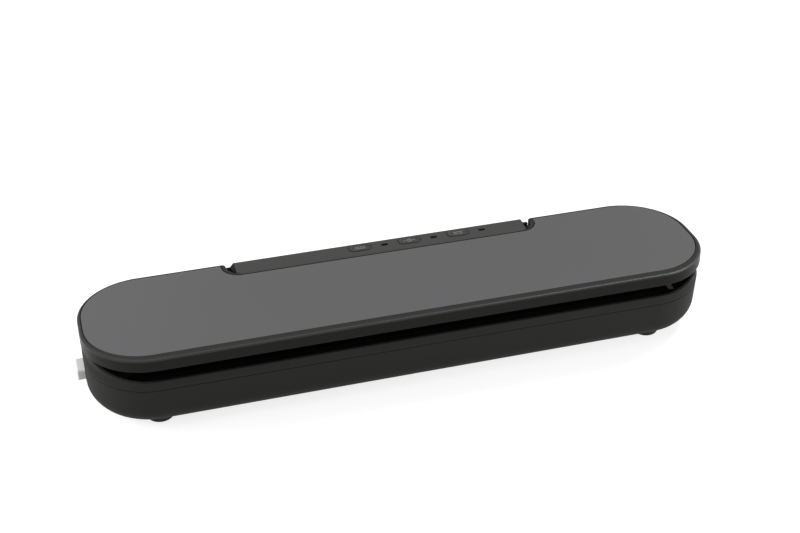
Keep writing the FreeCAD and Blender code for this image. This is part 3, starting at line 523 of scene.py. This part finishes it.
deckScrews = addSurface("deckScrews", screw(deckScrewLook),
                        [(x, y, deckScrewLook["seat"]) for x, y in deckScrewLook["places"]])
standFor(deckScrews, "base", "steel", finishes["steel"], "base_screws")
for number, (x, y) in enumerate(lidScrewLook["places"]):
    lidScrew = addSurface("lidScrew%d" % number, ajar(screw(lidScrewLook) + (x, y, lidScrewLook["seat"])))
    standFor(lidScrew, "lid", "steel", finishes["steel"], "lid_screws")
print("screws:", len(deckScrewLook["places"]) + len(lidScrewLook["places"]))

footLook = {"radius": 8.3, "height": 4.4, "round": 0.8, "grooveMiddle": 5.2, "grooveHalf": 0.9, "grooveDepth": 0.6,
            "dish": 0.25, "dishRadius": 3.0, "inner": 0.05, "sides": 72, "rings": 40, "roundRings": 8,
            "places": [(-151.5, -28.9), (-151.5, 28.9), (151.5, -28.9), (151.5, 28.9)]}


def foot(look):
    # profile carried round the axis: dished middle, a round groove, a rounded lower edge, then the straight side
    angle = fullTurn(look["sides"])
    flat = np.linspace(look["inner"], look["radius"] - look["round"], look["rings"])
    groove = look["grooveDepth"] * np.clip(1 - ((flat - look["grooveMiddle"]) / look["grooveHalf"]) ** 2, 0, 1)
    dish = look["dish"] * np.clip(1 - (flat / look["dishRadius"]) ** 2, 0, 1)
    corner = quarter(look["roundRings"])[1:]
    radius = np.concatenate([flat, look["radius"] - look["round"] * (1 - np.sin(corner)), [look["radius"]]])
    height = np.concatenate([groove + dish, look["round"] * (1 - np.cos(corner)), [look["height"]]])
    return np.stack([radius[:, None] * np.cos(angle), radius[:, None] * np.sin(angle),
                     height[:, None] * np.ones_like(angle)], axis=-1)


feet = addSurface("gripFeet", foot(footLook), [(x, y, 0) for x, y in footLook["places"]])
standFor(feet, "base", "rubber", finishes["rubber"], "rubber_feet")
print("feet:", len(footLook["places"]))

tapeLook = {"half": 163.25, "front": -37.0, "back": -29.0, "top": 34.9, "foot": 32.52, "thick": 0.25, "fold": 0.5,
            "ridge": 0.07, "ridgeHalf": 1.25, "ridgeTop": 1.5, "droop": 0.05, "droopPower": 6, "ripple": 0.015,
            "ripples": ((0.31, 0.9), (0.83, -1.3)),  # radians per millimetre along x and y
            "foldRings": 7, "rings": 400, "columns": 41, "hair": 1e-9, "sharp": 50.0}


def tapeSheet(look):
    # path up one end, along the bar and down the other with rounded folds; across it the height has a ridge over the
    # wire and drooping edges, and slow sines ripple it; the under side repeats the top at the cloth's thickness
    top, foot, fold = look["top"], look["foot"], look["fold"]
    reach = look["half"] - fold
    rising, falling = quarter(look["foldRings"])[:-1], quarter(look["foldRings"])[1:]
    x = np.concatenate([[-look["half"]], -reach - fold * np.cos(rising), np.linspace(-reach, reach, look["rings"]),
                        reach + fold * np.sin(falling), [look["half"]]])
    z = np.concatenate([[foot], top - fold * (1 - np.sin(rising)), np.full(look["rings"], top),
                        top - fold * (1 - np.cos(falling)), [foot]])
    across = np.linspace(-1, 1, look["columns"])
    offset = across * (look["back"] - look["front"]) / 2
    y = (look["front"] + look["back"]) / 2 + offset
    ridge = look["ridge"] * (np.clip(look["ridgeTop"] - np.abs(offset) / look["ridgeHalf"], 0, 1) - 1)
    droop = look["droop"] * across ** look["droopPower"]
    sines = sum(np.sin(x[:, None] * alongX + y * alongY) - 1 for alongX, alongY in look["ripples"])
    level = np.where(z > top - fold, 1.0, 0.0)[:, None]
    inward = look["thick"] * np.sign(x) * np.where(z < top - look["hair"], 1.0, 0.0)
    outer = np.stack([x[:, None] * np.ones_like(y), np.ones_like(x)[:, None] * y,
                      z[:, None] + level * (ridge - droop + look["ripple"] * sines)], axis=-1)
    under = outer - np.stack([inward[:, None] * np.ones_like(y), np.zeros_like(outer[..., 0]),
                              level * look["thick"] * np.ones_like(y)], axis=-1)
    return np.concatenate([outer, under[:, ::-1]], axis=1)


tape = addSurface("heaterCloth", tapeSheet(tapeLook), sharp=tapeLook["sharp"])
standFor(tape, "base", "tape", finishes["tape"], "heater_tape")

stripLook = {"half": 163.0, "front": -36.5, "back": -29.5, "low": 35.2, "high": 38.8, "ribs": 5, "ribDepth": 0.35,
             "round": 0.6, "drawnIn": 0.1, "ribSteps": 61, "roundSteps": 6, "endRings": 5, "rings": 58}


def pressStrip(look):
    # closed profile carried along x: ribbed lower face, rounded lower edges, flat back in its groove; the first and
    # last rings are drawn in by a cosine so that the ends are rounded
    low, high, front, back = look["low"], look["high"], look["front"], look["back"]
    run = np.linspace(0, 1, look["ribSteps"])
    ribs = look["ribDepth"] * (0.5 - 0.5 * np.cos(run * 2 * np.pi * look["ribs"])) ** 2
    turn = quarter(look["roundSteps"])[1:]
    side, rise = look["round"] * (1 - np.sin(turn)), look["round"] * (1 - np.cos(turn))
    y = np.concatenate([front + look["round"] + run * (back - front - 2 * look["round"]), back - side, [back, front],
                        front + side[::-1]])
    z = np.concatenate([low + ribs, low + rise, [high, high], low + rise[::-1]])
    end = quarter(look["endRings"])
    cap = look["round"] * (1 - np.sin(end))
    drawn = 1 - look["drawnIn"] * (1 - np.cos(end))
    inner = np.linspace(-1, 1, look["rings"] + 2)[1:-1] * look["half"]
    x = np.concatenate([cap[::-1] - look["half"], inner, look["half"] - cap])
    draw = np.concatenate([drawn[::-1], np.ones(look["rings"]), drawn])[:, None]
    middle = (front + back) / 2
    return np.stack([x[:, None] * np.ones_like(y), middle + (y - middle) * draw, high + (z - high) * draw], axis=-1)


press = addSurface("pressRubber", ajar(pressStrip(stripLook)))
standFor(press, "lid", "silicone", finishes["silicone"], "press_strip")
print("heater cloth and press strip")

keyLook = {"half": 7.25, "radius": 3.3, "y": 40.2, "top": 44.0, "proud": 0.35, "dish": 0.28, "round": 0.45,
           "flangeHalf": 8.35, "flangeRadius": 2.5, "flangeLow": 41.4, "flangeHigh": 42.1, "inner": 0.02,
           "step": 0.01, "sides": 96, "dishRings": 22, "roundRings": 8, "signBelow": 0.3,
           "keys": {"seal": -14.3, "vacuum": 17.55, "mode": 49.4}}
keyFinish = {**plasticLook, "colour": (0.033, 0.033, 0.031), "roughness": 0.45, "ink": (0.22, 0.22, 0.21, 1.0),
             "wear": 1500.0, "wearStops": ((0.30, 0.55), (0.62, 1.0))}
# millimetres from the key's middle: a bar's middle and half sizes, a ring's radius and half width
signLooks = {
    "seal": {"bars": [((0, -0.75), (3.3, 0.32)), ((-2.4, 0.75), (0.42, 0.42)), ((-0.8, 0.75), (0.42, 0.42)),
                      ((0.8, 0.75), (0.42, 0.42)), ((2.4, 0.75), (0.42, 0.42))]},  # a seam with ticks over it
    "vacuum": {"bars": [((-2.9, 0), (0.85, 0.28)), ((2.9, 0), (0.85, 0.28))], "rings": [(1.15, 0.3)]},
    "mode": {"bars": [((0, 0.8), (2.9, 0.3)), ((-1.7, -0.8), (1.2, 0.3)), ((1.7, -0.8), (1.2, 0.3))]},
}


def drawSign(x, y, look):
    # 1 inside any bar, and where the distance from the middle is near a ring's radius
    marks = [(abs(x - middle[0] * mm) < half[0] * mm) * (abs(y - middle[1] * mm) < half[1] * mm)
             for middle, half in look["bars"]]
    marks += [abs((x * x + y * y).root() - radius * mm) < half * mm for radius, half in look.get("rings", [])]
    sign = marks[0]
    for mark in marks[1:]:
        sign = sign.most(mark)
    return sign


def keyPlastic(name, look, sign, middle):
    # key cap: moulded plastic with a pale printed sign on its top, worn thin where a noise is low
    made, wires = newMaterial(name, {"Specular IOR Level": look["specular"]})
    grain = noise(wires, look["grain"], detail=3.0)
    x, y, z = axes(wires, shift=tuple(-value * mm for value in middle))
    worn = ramp(wires, noise(wires, look["wear"], detail=4.0), *look["wearStops"])
    printed = drawSign(x, y, sign) * (z > 0) * worn
    feed(wires, {"Base Color": blend(wires, printed, tinted(wires, grain, look), look["ink"]),
                 "Roughness": look["roughness"] + swing(grain, look["rubbed"]),
                 "Normal": bump(wires, grain, look["depth"])})
    return made


def keyCap(look):
    # rings of an oval, each drawn in from the outline: dished top, rounded rim, straight side, then the flange below;
    # a ring's point is the end of the middle line plus the radius left, turned by the angle
    angle = fullTurn(look["sides"]) + np.pi / look["sides"]
    turn = quarter(look["roundRings"])[1:]
    inset = np.linspace(look["radius"] - look["inner"], look["round"], look["dishRings"])
    hollow = look["dish"] * (1 - (1 - (inset - look["round"]) / (look["radius"] - look["round"])) ** 2)
    high = look["top"] + look["proud"]
    capRadii = look["radius"] - np.concatenate([inset, look["round"] * (1 - np.sin(turn)), [0, 0]])
    radii = np.concatenate([capRadii, [look["flangeRadius"]] * 2])
    heights = np.concatenate([high - hollow, high - look["round"] * (1 - np.cos(turn)),
                              [look["flangeHigh"] + look["step"], look["flangeHigh"]],
                              [look["flangeHigh"], look["flangeLow"]]])
    middles = np.concatenate([np.full(len(capRadii), look["half"] - look["radius"]),
                              [look["flangeHalf"] - look["flangeRadius"]] * 2])
    x = np.sign(np.cos(angle)) * middles[:, None] + radii[:, None] * np.cos(angle)
    return np.stack([x, radii[:, None] * np.sin(angle), heights[:, None] * np.ones_like(angle)], axis=-1)


for name, x in keyLook["keys"].items():
    signMiddle = (x, keyLook["y"], keyLook["top"] - keyLook["signBelow"])
    cap = addSurface(name + "KeyCap", keyCap(keyLook), [(x, keyLook["y"], 0)])
    standFor(cap, name + "_key", "key", keyPlastic(name + "KeyPlastic", keyFinish, signLooks[name], signMiddle),
             name + "_button")
print("keys:", len(keyLook["keys"]))

stageLook = {"floorSize": 4.0, "floorColour": (0.40, 0.40, 0.40, 1.0), "floorRough": 0.9,
             "lift": (0.78, 0.78, 0.78, 1.0), "ambient": 0.40, "white": (1, 1, 1, 1), "black": (0, 0, 0, 1)}


def shown(wires):
    # 1 for rays that show the background: from the camera, in reflections and through clear things
    camera, glossy, through = (wires.node("LightPath", out="Is %s Ray" % kind)
                               for kind in ("Camera", "Glossy", "Transmission"))
    return camera.most(glossy).most(through)


half = stageLook["floorSize"] / 2
floorMesh = bpy.data.meshes.new("floor")
floorMesh.from_pydata([(-half, -half, 0), (half, -half, 0), (half, half, 0), (-half, half, 0)], [], [(0, 1, 2, 3)])
floor = bpy.data.objects.new("floor", floorMesh)
bpy.context.scene.collection.objects.link(floor)
floorPaint, wires = newMaterial("floorPaint", {"Roughness": stageLook["floorRough"], "Specular IOR Level": 0.0,
                                               "Base Color": stageLook["floorColour"], "Emission Strength": 1.0})
feed(wires, {"Emission Color": blend(wires, shown(wires), stageLook["black"], stageLook["lift"])})
floorMesh.materials.append(floorPaint)

# the world lights the object at the ambient level and shows white
world = bpy.data.worlds.new("studio")
world.use_nodes = True
sky = Wire(world.node_tree)
world.node_tree.nodes.remove(world.node_tree.nodes["Background"])
dim, bright = (sky.node("Background", None, {"Color": stageLook["white"], "Strength": strength})
               for strength in (stageLook["ambient"], 1.0))
backdrop = sky.node("MixShader", None, {0: shown(sky), 1: dim, 2: bright})
world.node_tree.links.new(backdrop.socket, world.node_tree.nodes["World Output"].inputs["Surface"])
bpy.context.scene.world = world

sunLook = {"strength": 2.15, "angle": 26.0, "azimuth": 52.0, "elevation": 50.0}
sun = bpy.data.lights.new("softTop", "SUN")
sun.energy = sunLook["strength"]
sun.angle = np.radians(sunLook["angle"])
sunObject = bpy.data.objects.new("softTop", sun)
sunObject.rotation_euler = (np.radians(sunLook["elevation"] - 90), 0, np.radians(-sunLook["azimuth"]))
bpy.context.scene.collection.objects.link(sunObject)

boxLooks = {"softSide": {"power": 2.6, "width": 0.5, "height": 0.3, "place": (0.75, -0.50, 0.24),
                         "aim": (0.05, 0, 0.03), "mirrored": True},
            "softLeft": {"power": 2.3, "width": 0.4, "height": 0.24, "place": (-0.64, 0.0, 0.36),
                         "aim": (-0.19, 0, 0.02), "mirrored": False}}
for name, look in boxLooks.items():
    box = bpy.data.lights.new(name, "AREA")
    box.energy = look["power"]
    box.shape = "RECTANGLE"
    box.size, box.size_y = look["width"], look["height"]
    boxObject = bpy.data.objects.new(name, box)
    boxObject.location = look["place"]
    boxObject.rotation_euler = (Vector(look["aim"]) - Vector(look["place"])).to_track_quat("-Z", "Y").to_euler()
    boxObject.visible_camera = False
    boxObject.visible_glossy = look["mirrored"]
    bpy.context.scene.collection.objects.link(boxObject)

# the camera looks along -back; roll turns it about that line
cameraLook = {"azimuth": -17.187, "elevation": 36.314, "roll": 1.398, "lens": 63.58,
              "place": (-0.2002, -0.6456, 0.5523)}
azimuth, elevation, roll = np.radians([cameraLook[key] for key in ("azimuth", "elevation", "roll")])
back = np.array([np.sin(azimuth) * np.cos(elevation), -np.cos(azimuth) * np.cos(elevation), np.sin(elevation)])
right = np.array([np.cos(azimuth), np.sin(azimuth), 0.0])
up = np.cross(back, right)
stand = np.eye(4)
stand[:3, 0] = right * np.cos(roll) + up * np.sin(roll)
stand[:3, 1] = up * np.cos(roll) - right * np.sin(roll)
stand[:3, 2] = back
stand[:3, 3] = cameraLook["place"]
camera = bpy.data.objects.new("camera", bpy.data.cameras.new("camera"))
camera.data.lens = cameraLook["lens"]
camera.matrix_world = Matrix(stand.tolist())
bpy.context.scene.collection.objects.link(camera)
bpy.context.scene.camera = camera
bpy.context.scene.view_settings.view_transform = "Standard"
print("stage: floor, lamps and camera")
